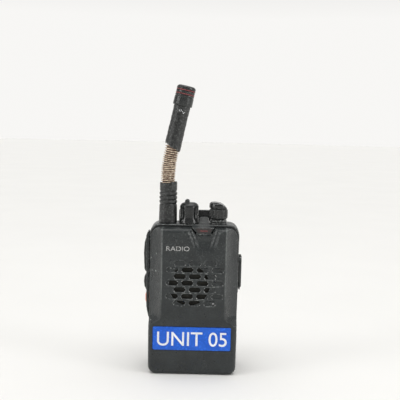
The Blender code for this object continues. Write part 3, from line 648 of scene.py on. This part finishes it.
def lathe(name, profile, mat, steps):
    """A turned mesh about Z from (radius, height) points down its outside, in millimetres."""
    bm = bmesh.new()
    verts = [bm.verts.new((radius * MM, 0.0, height * MM)) for radius, height in profile]
    for near, far in zip(verts, verts[1:]):
        bm.edges.new((near, far))
    if profile[0][0] > 0.0:
        bm.edges.new((verts[-1], verts[0]))
    mesh = bpy.data.meshes.new(name)
    bm.to_mesh(mesh)
    bm.free()
    mesh.materials.append(mat)
    obj = linked(name, mesh)
    step = obj.modifiers.new("screw", "SCREW")
    step.steps = steps
    step.render_steps = steps
    step.use_merge_vertices = True
    step.merge_threshold = 0.000001
    bake(obj)
    outward(obj)
    obj.data.set_sharp_from_angle(angle=math.radians(50))
    return obj


def put(obj, place, lean=0.0):
    """Moves a finished mesh to its place in millimetres, leaning it towards +X."""
    obj.data.transform(Matrix.Translation(Vector(place) * MM) @ Matrix.Rotation(lean, 4, "Y"))
    obj.data.update()
    return obj


# ---------------------------------------------------------------- antenna

ANTENNA = middle("antenna_stud")
LEAN = math.radians(12.3)
BOOT_LOW, BOOT_HIGH = span("antenna_boot")
BOOT_FOOT_Z = BOOT_LOW.z - 0.2
BOOT_TOP_Z = BOOT_HIGH.z + 1.5
BOOT_RIBS_Z = (114.7, 112.1, 109.5)
CORE_R = 3.6
COIL_R = 4.3
COIL_TURNS = 20
COIL_TURN_POINTS = 20
COIL_FOOT = Vector((-17.9, ANTENNA.y, 119.4))
COIL_HEAD = Vector((-15.3, ANTENNA.y, 145.6))
COIL_REACH = 11.0
WIRE_R = 0.36
SLEEVE_FOOT = Vector((-15.85, ANTENNA.y, 143.2))
SLEEVE_LENGTH = 28.6
SLEEVE_R = 5.4
CAP_FOOT = SLEEVE_LENGTH + 0.3
CAP_TOP = CAP_FOOT + 13.0
CAP_BANDS = (CAP_TOP - 3.0, CAP_TOP - 5.5)


def make_boot():
    """The rubber boot with three soft ribs under its collar and a torn rim."""
    foot, top = BOOT_FOOT_Z, BOOT_TOP_Z
    profile = [(0.0, 118.9), (4.75, 118.9), (4.85, top - 0.3), (5.3, top), (5.62, top - 0.5),
               (5.6, 116.9)]
    for height in BOOT_RIBS_Z:
        profile += [(5.22, height + 1.5), (5.22, height + 1.1), (5.8, height + 0.55),
                    (5.8, height - 0.55)]
    profile += [(5.3, 108.4), (5.3, 108.0), (5.72, 107.3), (5.78, 103.0), (5.9, foot + 1.5),
                (5.9, foot + 0.4), (5.7, foot), (5.2, foot), (5.2, 97.3), (2.4, 97.3), (2.4, 105.0),
                (0.0, 105.0)]
    boot = lathe("antenna_boot_skin", eased(profile, 0.45), RUBBER, 96)

    def tear(points, normals):
        """Slants the rim and makes it uneven."""
        angle = np.arctan2(points[:, 1], points[:, 0])
        ragged = 0.35 * np.sin(3 * angle + 0.6) + 0.22 * np.sin(7 * angle) + 0.15 * np.sin(13 * angle)
        slant = 0.4 - 0.09 * points[:, 0]
        moved = points.copy()
        moved[:, 2] -= (slant + ragged) * ramp(points[:, 2], top - 1.6, top)
        return moved

    sculpt(boot, tear)
    stand_for(put(boot, (ANTENNA.x, ANTENNA.y, 0.0)), "antenna_boot")


def coil_axis(share):
    """The bare coil's bent middle line and its direction."""
    controls = [COIL_FOOT, COIL_FOOT + Vector((-0.04, 0, 1)) * COIL_REACH,
                COIL_HEAD - Vector((math.sin(LEAN), 0, math.cos(LEAN))) * COIL_REACH, COIL_HEAD]
    rest = 1 - share
    weights = (rest ** 3, 3 * share * rest ** 2, 3 * share ** 2 * rest, share ** 3)
    slopes = (-3 * rest ** 2, 3 * rest * (1 - 3 * share), 3 * share * (2 - 3 * share), 3 * share ** 2)
    point = sum((w * c for w, c in zip(weights, controls)), Vector())
    along = sum((w * c for w, c in zip(slopes, controls)), Vector()).normalized()
    return point, along


def rod(name, points, radius, mat, level, radii=None):
    """A smooth bent rod through points in millimetres, as a mesh."""
    curve = bpy.data.curves.new(name, "CURVE")
    curve.dimensions = "3D"
    curve.bevel_depth = radius * MM
    curve.bevel_resolution = level
    curve.use_fill_caps = True
    spline = curve.splines.new("POLY")
    spline.points.add(len(points) - 1)
    for number, (item, point) in enumerate(zip(spline.points, points)):
        item.co = (*(Vector(point) * MM), 1.0)
        item.radius = radii[number] if radii else 1.0
    mesh = curve_mesh(curve, mat)
    bm = bmesh.new()
    bm.from_mesh(mesh)
    bmesh.ops.remove_doubles(bm, verts=bm.verts, dist=0.000001)
    bm.to_mesh(mesh)
    bm.free()
    mesh.shade_smooth()
    return linked(name, mesh)


def bend(obj, node):
    """Bakes the place of a piece between the antenna's boot and its sleeve into its mesh, and hides the
    CAD node that it stands for.
    """
    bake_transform(obj)
    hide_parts(node)


def make_coil():
    """The bare coil, its turns uneven where the rubber was torn off, and the core in it."""
    chance = random.Random(SEED)
    shifts = [chance.uniform(-0.12, 0.12) for _ in range(COIL_TURNS + 2)]
    swells = [chance.uniform(-0.05, 0.10) for _ in range(COIL_TURNS + 2)]
    points = []
    for i in range(COIL_TURNS * COIL_TURN_POINTS + 1):
        turn, part = divmod(i / COIL_TURN_POINTS, 1.0)
        turn = int(turn)
        place, along = coil_axis(i / (COIL_TURNS * COIL_TURN_POINTS))
        across = Vector((along.z, 0, -along.x))
        angle = 2 * math.pi * part
        wide = COIL_R + swells[turn] * (1 - part) + swells[turn + 1] * part
        shift = shifts[turn] * (1 - part) + shifts[turn + 1] * part
        spot = across * math.cos(angle) * wide + Vector((0, 1, 0)) * math.sin(angle) * wide
        points.append(place + spot + along * shift)
    bend(rod("antenna_coil_wire", points, WIRE_R, COPPER, 3), "antenna_coil")
    path = [coil_axis(i / 40)[0] for i in range(41)]
    radii = [1.0 + 0.04 * math.sin(i * 1.7) + 0.03 * math.sin(i * 0.7) for i in range(41)]
    bend(rod("antenna_core_strand", path, CORE_R, CORE, 5, radii), "antenna_core")


def divided(profile, reach):
    """A profile with points added so that they lie no further apart than about a reach."""
    fine = []
    for near, far in zip(profile, profile[1:]):
        steps = max(1, int((Vector(near) - Vector(far)).length / reach))
        fine += [tuple(Vector(near).lerp(Vector(far), i / steps)) for i in range(steps)]
    return fine + [profile[-1]]


def make_sleeve():
    """The leaning upper sleeve, torn off on a slant at its foot."""
    top = SLEEVE_LENGTH + 0.28
    profile = [(0.0, top), (5.0, top), (SLEEVE_R - 0.05, top - 0.6), (SLEEVE_R - 0.15, 20.0),
               (SLEEVE_R - 0.05, 12.0), (SLEEVE_R, 6.0), (SLEEVE_R, 1.2), (SLEEVE_R - 0.25, 0.1),
               (4.95, 0.0), (4.75, 0.5), (4.75, 7.0), (0.0, 7.0)]
    sleeve = lathe("antenna_sleeve_skin", divided(profile, 0.7), RUBBER, 96)

    def tear(points, normals):
        """Slants the foot, leaves it ragged and ripples the side."""
        x, y, z = points.T
        angle = np.arctan2(y, x)
        ragged = 0.25 * np.sin(5 * angle + 1) + 0.15 * np.sin(11 * angle) + 0.12 * np.sin(17 * angle)
        rise = 1.45 - 2.1 * x / SLEEVE_R + ragged
        moved = points.copy()
        moved[:, 2] += rise * (1 - ramp(z, 0.0, 6.5))
        ripple = 0.06 * np.sin(z * 1.9 + 2 * angle) + 0.05 * np.sin(z * 0.8 + 5 * angle)
        grow = 1.0 + ripple / SLEEVE_R * (np.hypot(x, y) > 5.0)
        moved[:, 0] *= grow
        moved[:, 1] *= grow
        return moved

    sculpt(sleeve, tear)
    stand_for(put(sleeve, SLEEVE_FOOT, LEAN), "antenna_sleeve")


def make_cap():
    """The hard cap with its two red bands in grooves."""
    profile = [(0.0, CAP_TOP - 0.15), (3.0, CAP_TOP - 0.05), (4.9, CAP_TOP - 0.2), (5.9, CAP_TOP - 0.9),
               (6.2, CAP_TOP - 1.9)]
    for height in CAP_BANDS:
        profile += [(6.1, height + 0.55), (5.7, height + 0.34), (5.7, height - 0.34),
                    (6.1, height - 0.55)]
    profile += [(6.2, CAP_TOP - 6.9), (5.8, CAP_TOP - 7.2), (6.2, CAP_TOP - 7.6), (6.3, CAP_FOOT + 0.6),
                (6.1, CAP_FOOT - 0.1), (5.2, CAP_FOOT - 0.25), (0.0, CAP_FOOT - 0.25)]
    cap = lathe("antenna_cap_shell", eased(profile, 0.22), CAP, 96)
    stand_for(put(cap, SLEEVE_FOOT, LEAN), "antenna_cap")
    for number, height in enumerate(CAP_BANDS):
        ring = arc((5.92, height), 0.32, 90, -90, 8)
        band_ring = lathe(f"antenna_red_band_{number + 1}",
                          ring + [(5.4, height - 0.32), (5.4, height + 0.32)], RED, 96)
        stand_for(put(band_ring, SLEEVE_FOOT, LEAN), f"antenna_band_{number + 1}")


def make_rubbed_marks():
    """Worn white flecks of print just under the cap."""
    bm = bmesh.new()
    radius = SLEEVE_R + 0.04
    # Each fleck's angle round the sleeve, height, width in degrees, thickness and slant in degrees
    flecks = ((-100, 25.6, 9, 0.5, 14), (-88, 25.9, 7, 0.45, -10), (-79, 25.2, 6, 0.4, 24),
              (-70, 24.3, 10, 0.55, -16), (-61, 24.9, 5, 0.4, 30), (-93, 24.9, 4, 0.35, 0))
    for angle, height, width, thick, slant in flecks:
        rows = []
        for share in (0.0, 0.25, 0.5, 0.75, 1.0):
            turn = math.radians(angle + width * (share - 0.5))
            mid = height + math.radians(width) * radius * (share - 0.5) * math.tan(math.radians(slant))
            half = thick / 2 * math.sin(math.pi * (0.15 + 0.7 * share))
            rows.append([bm.verts.new((radius * math.cos(turn), radius * math.sin(turn), mid + side))
                         for side in (-half, half)])
        for near, far in zip(rows, rows[1:]):
            bm.faces.new((near[0], far[0], far[1], near[1]))
    marks = to_object("antenna_rubbed_marks", bm, WHITE)
    step = marks.modifiers.new("thick", "SOLIDIFY")
    step.thickness = 0.05 * MM
    step.offset = -1.0
    put(bake(marks), SLEEVE_FOOT, LEAN)
    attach(marks, "antenna_top")


make_boot()
make_coil()
make_sleeve()
make_cap()
make_rubbed_marks()


# ---------------------------------------------------------------- knobs

SHAFT_HOLE = [(2.7, 106.3), (0.0, 106.3)]
POINTER_X = -1.3
VOLUME_TOP_Z = 109.8


def flutes(count, turn, sharp, depth, low, high, ease=1.6):
    """A rule that presses upright grooves into a round piece's side, between two heights."""
    def press(points, normals):
        x, y, z = points.T
        radius = np.hypot(x, y)
        wave = np.clip(np.cos(count * np.arctan2(y, x) + turn), 0.0, 1.0) ** sharp
        wave = wave * band(z, low, low + ease, high - ease, high) * ramp(radius, 3.6, 4.6)
        moved = points.copy()
        moved[:, :2] *= (1 - depth * wave / np.maximum(radius, 1.0))[:, None]
        return moved
    return press


def make_channel_knob():
    """The fluted, bell-shaped channel knob with its rounded pointer."""
    centre = middle("channel_shaft")
    profile = [(0.0, 109.4), (3.0, 109.3), (4.6, 108.7), (5.7, 107.7), (6.15, 106.6), (6.1, 104.2),
               (5.95, 101.6), (6.05, 99.6), (6.4, 97.4), (6.6, 95.9), (6.3, 95.65), (5.5, 95.65),
               (5.5, 98.2), (2.7, 98.2)]
    knob = lathe("channel_knob_shell", eased(profile, 0.4) + SHAFT_HOLE, KNOB, 144)
    sculpt(knob, flutes(4, math.pi, 3.0, 0.5, 97.5, 108.0, 3.0))
    pointer = arc((POINTER_X, 110.0), 1.4, 180, 0, 10) + [(0.1, 106.8), (-2.7, 106.8)]
    boolean(knob, "UNION", prism(pointer, "Y", -4.2, 3.8))
    boolean(knob, "UNION", cylinder((POINTER_X, 110.1), 1.6, "Y", -4.9, -2.4, 20))
    remesh(knob, 0.2, 3)

    def crown(points, normals):
        """Lets the pointer fall away to its back."""
        moved = points.copy()
        high = np.clip(points[:, 2] - 108.9, 0.0, None)
        moved[:, 2] -= 0.45 * high * ramp(points[:, 1], -1.0, 4.5)
        return moved

    sculpt(knob, crown)
    stand_for(put(knob, (centre.x, centre.y, 0.0)), "channel_knob")


def make_volume_knob():
    """The volume knob: a drum with a slanted, domed top over a groove, narrowing to its nut."""
    centre = middle("volume_shaft")
    profile = [(0.0, 109.75), (5.0, 109.7), (5.9, 109.0), (6.15, 107.8), (6.15, 106.1), (5.3, 105.8),
               (5.3, 105.3), (6.12, 104.9), (6.12, 100.8), (5.95, 99.6), (5.3, 99.1), (5.3, 98.6),
               (4.6, 98.4), (2.7, 98.4)]
    knob = lathe("volume_knob_shell", eased(profile, 0.2) + SHAFT_HOLE, KNOB, 144)
    sculpt(knob, flutes(8, 0.0, 1.0, 0.75, 99.4, 105.2, 0.8))
    slant = [(-3.4, VOLUME_TOP_Z), (-1.0, 109.55), (1.2, 109.0), (3.0, 108.1), (4.4, 107.0), (5.4, 105.9),
             (6.0, 105.6), (8.0, 105.5), (8.0, 112.0), (-3.4, 112.0)]
    boolean(knob, "DIFFERENCE", prism(slant, "Y", -9.0, 9.0))
    boolean(knob, "DIFFERENCE", cylinder((-1.6, 113.4), 4.6, "Y", -8.0, -3.3, 40))
    remesh(knob, 0.18, 3)
    stand_for(put(knob, (centre.x, centre.y, 0.0)), "volume_knob")
    collar = [(5.35, 98.15), (5.45, 97.0), (5.1, 96.7), (5.7, 96.3), (5.8, 95.7), (3.75, 95.6),
              (3.75, 98.15)]
    nut = lathe("volume_collar", eased(collar, 0.12), KNOB, 96)
    sculpt(nut, flutes(20, 0.0, 1.0, 0.18, 95.0, 99.2))
    stand_for(put(nut, (centre.x, centre.y, 0.0)), "volume_nut")


make_channel_knob()
make_volume_knob()


# ---------------------------------------------------------------- keys, covers and clip

def ridges(axis, low, high, pitch, depth, push, limit):
    """A rule that presses even grooves, set out along one axis, into the faces that look one way.

    The limit is the axis along the grooves, with their middle and half length.
    """
    side, centre, reach = limit

    def press(points, normals):
        place = points[:, axis]
        wave = np.clip(np.cos(2 * math.pi * (place - low) / pitch), 0.0, 1.0) ** 2
        wave = wave * band(place, low - 0.3, low + 0.3, high - 0.3, high + 0.3)
        wave = wave * (1 - ramp(np.abs(points[:, side] - centre), reach - 0.4, reach))
        facing = np.clip(normals @ np.array(push), 0.0, 1.0)
        return points - (depth * wave * facing)[:, None] * np.array(push)
    return press


def make_side_keys():
    """The left side's frame and its three keys."""
    moulded("side_key_surround", "side_key_frame", CASE, 0.25, 3)
    ptt = moulded("ptt_button_cap", "ptt_button", BLACK, 0.2, 4)
    low, high = span("ptt_button")
    sculpt(ptt, ridges(2, low.z + 5.0, high.z - 6.0, 1.9, 0.3, (-1.0, 0.0, 0.0),
                       (1, middle("ptt_button").y, 2.2)))
    upper = moulded("side_key_upper_cap", "side_key_upper", BLACK, 0.2, 4)
    mid = middle("side_key_upper")
    sculpt(upper, ridges(2, mid.z - 1.9, mid.z + 2.4, 1.9, 0.25, (-1.0, 0.0, 0.0), (1, mid.y, 1.8)))
    moulded("side_key_lower_cap", "side_key_lower", ORANGE, 0.2, 4)


def make_jack_cover():
    """The rubber cover over the jacks, with a grip at its foot."""
    cover = moulded("jack_cover_flap", "jack_cover", COVER, 0.2, 3)
    low, high = span("jack_cover")
    sculpt(cover, ridges(2, low.z + 3.4, low.z + 9.0, 1.4, 0.3, (1.0, 0.0, 0.0),
                         (1, middle("jack_cover").y, 2.7)))


def make_clip():
    """The belt clip with a ribbed thumb tab and a sunk panel down its leg, and its bracket."""
    low, high = span("belt_clip")
    clip = moulded("belt_clip_lever", "belt_clip", BLACK, 0.35, 3)
    sculpt(clip, ridges(2, high.z - 8.0, high.z - 1.2, 1.7, 0.4, (0.0, 1.0, 0.0), (0, 0.0, 8.5)))

    def sink(points, normals):
        """Sinks a long panel into the leg's outside."""
        x, y, z = points.T
        panel = 1 - ramp(np.abs(x), 6.4, 7.2)
        panel = panel * band(z, low.z + 12.0, low.z + 13.0, low.z + 56.0, low.z + 57.0)
        moved = points.copy()
        moved[:, 1] -= 0.5 * panel * np.clip(normals[:, 1], 0.0, 1.0)
        return moved

    sculpt(clip, sink)
    moulded("belt_clip_base", "belt_clip_bracket", BLACK, 0.3, 3)


def make_latch():
    """The battery latch with grip ridges on its underside."""
    low, high = span("battery_latch")
    latch = moulded("battery_latch_flap", "battery_latch", BLACK, 0.22, 3)
    sculpt(latch, ridges(1, high.y - 4.4, high.y - 1.0, 1.3, 0.35, (0.0, 0.0, -1.0), (0, 0.0, 8.0)))


make_side_keys()
make_jack_cover()
make_clip()
make_latch()


# ---------------------------------------------------------------- label, print and lamp

LABEL_CORNER = 0.8
FRONT_PRINT_Y = -16.78


def text_piece(name, words, height, wide, centre, y, mat, embolden, thick):
    """Raised print on the front, with the height, width and depth of the whole word in millimetres."""
    curve = bpy.data.curves.new(name, "FONT")
    curve.body = words
    curve.align_x = "CENTER"
    curve.align_y = "CENTER"
    curve.offset = embolden
    curve.extrude = 0.02
    curve.resolution_u = 6
    mesh = curve_mesh(curve, mat)
    points = np.array([vert.co for vert in mesh.vertices])
    low, high = points.min(0), points.max(0)
    size = high - low
    points = (points - (low + high) / 2) / size * np.array([wide, height, thick])
    placed = np.column_stack((points[:, 0] + centre[0], y - points[:, 2], points[:, 1] + centre[1]))
    mesh.vertices.foreach_set("co", (placed * MM).ravel())
    mesh.update()
    obj = linked(name, mesh)
    outward(obj)
    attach(obj, "radio_body")


def make_label():
    """The blue label, rounded at its corners, with a generic unit number."""
    low, high = span("asset_label")
    left, right = low.x + LABEL_CORNER, high.x - LABEL_CORNER
    foot, top = low.z + LABEL_CORNER, high.z - LABEL_CORNER
    outline = []
    for x, z, start in ((right, foot, -90), (right, top, 0), (left, top, 90), (left, foot, 180)):
        outline += arc((x, z), LABEL_CORNER, start, start + 90, 6)
    label = to_object("unit_label", prism(outline, "Y", low.y + 0.02, high.y), BLUE)
    remesh(label, 0.15, 1, 0.3)
    stand_for(label, "asset_label")
    mid = (low + high) / 2
    text_piece("unit_label_print", "UNIT 05", 9.2, 44.5, (mid.x + 0.2, mid.z - 0.2), low.y + 0.01, WHITE,
               0.004, 0.06)


def make_lamp():
    """The dark lamp window with its thin red line."""
    low, high = span("led_light_guide")
    outline = [(low.x - 1.5, low.z - 0.35), (high.x + 0.9, low.z - 0.35), (high.x + 2.3, high.z + 0.7),
               (low.x - 2.9, high.z + 0.7)]
    lens = to_object("lamp_lens", prism(outline, "Y", low.y + 0.35, high.y), LENS)
    remesh(lens, 0.14, 4)
    stand_for(lens, "led_light_guide")
    line = to_object("lamp_line", block((low.x - 0.1, low.y + 0.2, low.z + 0.8),
                                        (high.x - 0.6, low.y + 0.8, low.z + 1.2)), RED_DIM)
    remesh(line, 0.08, 2)
    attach(line, "radio_body")


make_label()
make_lamp()
text_piece("front_print", "RADIO", 2.9, 14.6, (-10.2, 81.6), FRONT_PRINT_Y, SILVER_PRINT_AND_GLINT,
           0.0, 0.08)


# ---------------------------------------------------------------- stage, light and camera

# The camera's place, the lights' target and the floor in metres; the camera's pitch and roll in degrees
CAMERA_AT = (0.003, -0.47175, 0.160)
CAMERA_DOWN = 5.93
CAMERA_ROLL = 1.3
LENS_MM = 65.88
SENSOR_MM = 36.0
LIGHTS_AT = (0.0, 0.0, 0.08)
FLOOR_RADIUS = 6.0
# The sky's colours: behind the radio and all round the horizon, behind the camera, higher up,
# overhead, and in a strip at each side
SKY_BACK = (0.935, 0.927, 0.91)
SKY_FRONT = (0.17, 0.17, 0.17)
SKY_MIDDLE = (0.42, 0.417, 0.41)
SKY_TOP = (2.35, 2.34, 2.31)
SKY_SIDE = (5.0, 5.0, 4.95)


def make_floor():
    """A wide pale floor."""
    bpy.ops.mesh.primitive_circle_add(vertices=96, radius=FLOOR_RADIUS, fill_type="NGON")
    floor = bpy.context.object
    floor.name = "floor"
    floor.data.materials.append(finish_of("floor", (0.785, 0.78, 0.765), (0.80, 0.795, 0.78), 0.8, 3.0,
                                          0.0, 120.0, specular=0.2, fleck=(0.79, 0.785, 0.77)))


def make_sky():
    """A pale sky, brighter overhead and at the sides, dimmer behind the camera."""
    world = bpy.data.worlds.new("sky")
    world.use_nodes = True
    tree = world.node_tree
    x, y, z = split(tree, tree.nodes.new("ShaderNodeTexCoord").outputs["Generated"])
    sideways = reckoned(tree, "ABSOLUTE", x)
    strips = times(tree, mapped(tree, sideways, 0.78, 0.84, 0.0, 1.0),
                   mapped(tree, sideways, 0.92, 0.96, 1.0, 0.0))
    aside = times(tree, strips, mapped(tree, y, -0.25, -0.12, 1.0, 0.0))
    sky = mixed(tree, mapped(tree, y, 0.35, 0.85, 0.0, 1.0), SKY_FRONT, SKY_BACK)
    sky = mixed(tree, mapped(tree, z, 0.07, 0.12, 0.0, 1.0), SKY_BACK, sky)
    sky = mixed(tree, mapped(tree, z, 0.14, 0.4, 0.0, 1.0), sky, SKY_MIDDLE)
    sky = mixed(tree, mapped(tree, z, 0.72, 0.92, 0.0, 1.0), sky, SKY_TOP)
    sky = mixed(tree, aside, sky, SKY_SIDE)
    tree.links.new(sky, tree.nodes["Background"].inputs["Color"])
    bpy.context.scene.world = world


def add_light(name, place, size, power):
    """A soft rectangular light that faces the radio."""
    lamp = bpy.data.lights.new(name, "AREA")
    lamp.shape = "RECTANGLE"
    lamp.size, lamp.size_y = size
    lamp.energy = power
    obj = linked(name, lamp)
    obj.location = place
    obj.rotation_euler = (Vector(LIGHTS_AT) - Vector(place)).to_track_quat("-Z", "Y").to_euler()


def make_lights():
    """A broad light overhead and a narrow one at each side."""
    add_light("overhead", (0.0, -0.15, 0.75), (0.5, 0.3), 0.35)
    add_light("left", (-0.6, -0.35, 0.3), (0.12, 0.6), 0.3)
    add_light("right", (0.6, -0.3, 0.3), (0.12, 0.6), 0.3)


def make_camera():
    """A camera a little above the radio, turned slightly about its own view."""
    camera = bpy.data.cameras.new("camera")
    camera.lens = LENS_MM
    camera.sensor_width = SENSOR_MM
    obj = linked("camera", camera)
    obj.matrix_world = (Matrix.Translation(CAMERA_AT) @
                        Matrix.Rotation(math.radians(90 - CAMERA_DOWN), 4, "X") @
                        Matrix.Rotation(math.radians(CAMERA_ROLL), 4, "Z"))
    bpy.context.scene.camera = obj


make_floor()
make_sky()
make_lights()
make_camera()
bpy.context.scene.view_settings.view_transform = "Standard"
